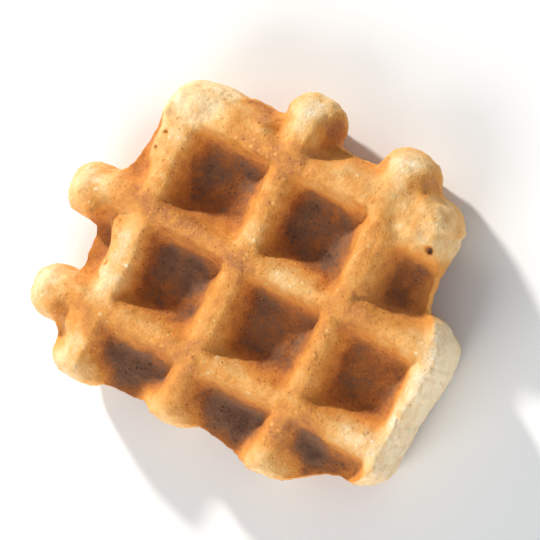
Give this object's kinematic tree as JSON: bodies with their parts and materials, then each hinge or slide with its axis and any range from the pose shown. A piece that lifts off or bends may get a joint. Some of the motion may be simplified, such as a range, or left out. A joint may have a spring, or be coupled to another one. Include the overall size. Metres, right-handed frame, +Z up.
{
  "type": "liege waffle",
  "caption": "Thick Liège waffle of sweet yeast dough, baked between deep square-grid irons, with ridges and pockets on both faces and rounded dough fingers at its rim.",
  "frame": {"origin": "middle of the outline, on the plane that the lower ridge crests rest on", "axes": "+X along the longer side, towards the broad end of the last ridge; +Y towards the two long fingers; +Z up out of the shown face"},
  "size_m": [0.093, 0.0788, 0.025],
  "materials": {
    "crust": "golden-brown baked crust, slightly glossy on the ridges from melted sugar, darker in the pockets and cream-coloured at the rim"
  },
  "bodies": {
    "root": {"waffle": "crust"}
  },
  "joints": []
}
